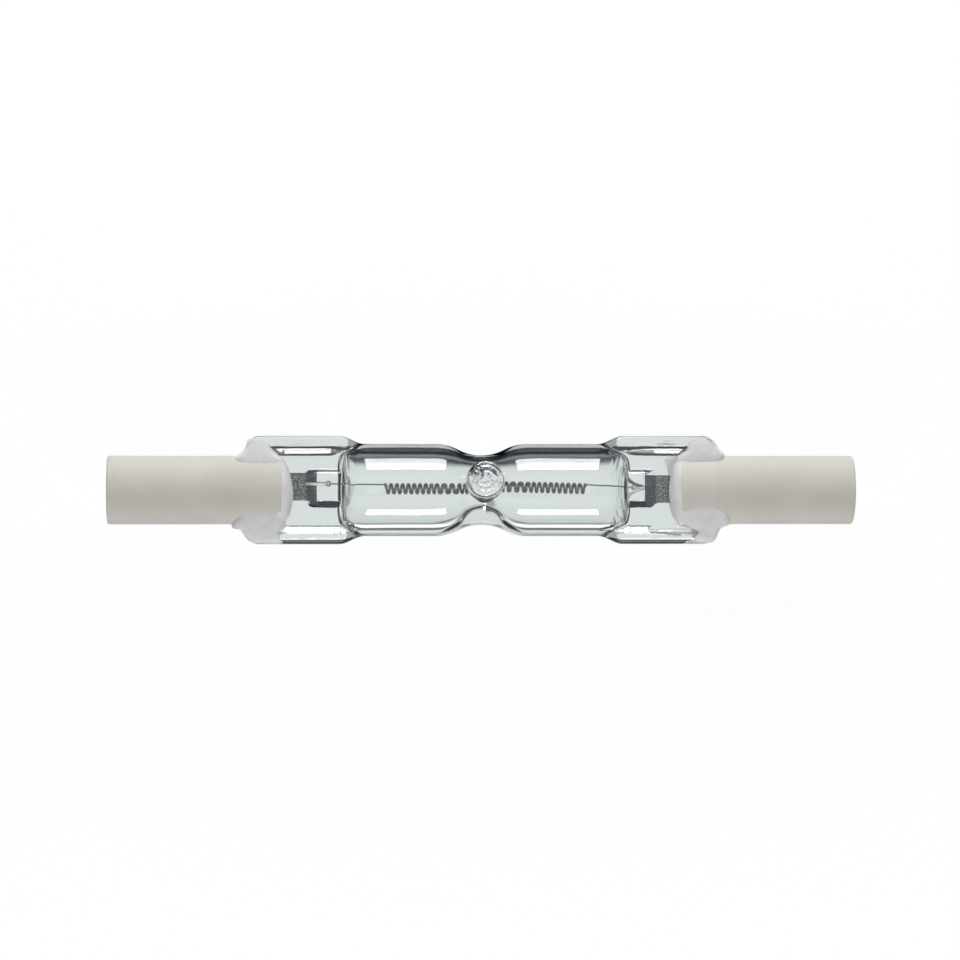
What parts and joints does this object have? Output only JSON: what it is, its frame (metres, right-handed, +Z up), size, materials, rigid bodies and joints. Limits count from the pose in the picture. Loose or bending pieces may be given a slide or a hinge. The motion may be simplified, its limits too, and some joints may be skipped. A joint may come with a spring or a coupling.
{
  "type": "linear halogen bulb",
  "caption": "Double-ended linear halogen bulb: waisted quartz tube with flat pinch seals, coiled filament, exhaust tip, and slotted ceramic caps with recessed contacts.",
  "frame": {"origin": "middle of the lamp's axis, halfway between the two contacts", "axes": "+X along the lamp's axis, +Y across the flat pinch seals, +Z up, square to the pinches, on the side of the exhaust tip"},
  "size_m": [0.0782, 0.0114, 0.0103],
  "materials": {
    "quartz_glass": "gloss",
    "tungsten_wire": "satin",
    "lead_wire": "satin",
    "seal_foil": "satin",
    "base_ceramic": "matte",
    "base_cement": "matte",
    "contact_metal": "satin"
  },
  "bodies": {
    "root": {"quartz_envelope": "quartz_glass", "filament": "tungsten_wire", "inner_lead_left": "lead_wire", "inner_lead_right": "lead_wire", "outer_lead_left": "lead_wire", "outer_lead_right": "lead_wire", "foil_left": "seal_foil", "foil_right": "seal_foil", "ceramic_base_left": "base_ceramic", "ceramic_base_right": "base_ceramic", "cement_left": "base_cement", "cement_right": "base_cement", "contact_left": "contact_metal", "contact_right": "contact_metal"}
  },
  "joints": []
}
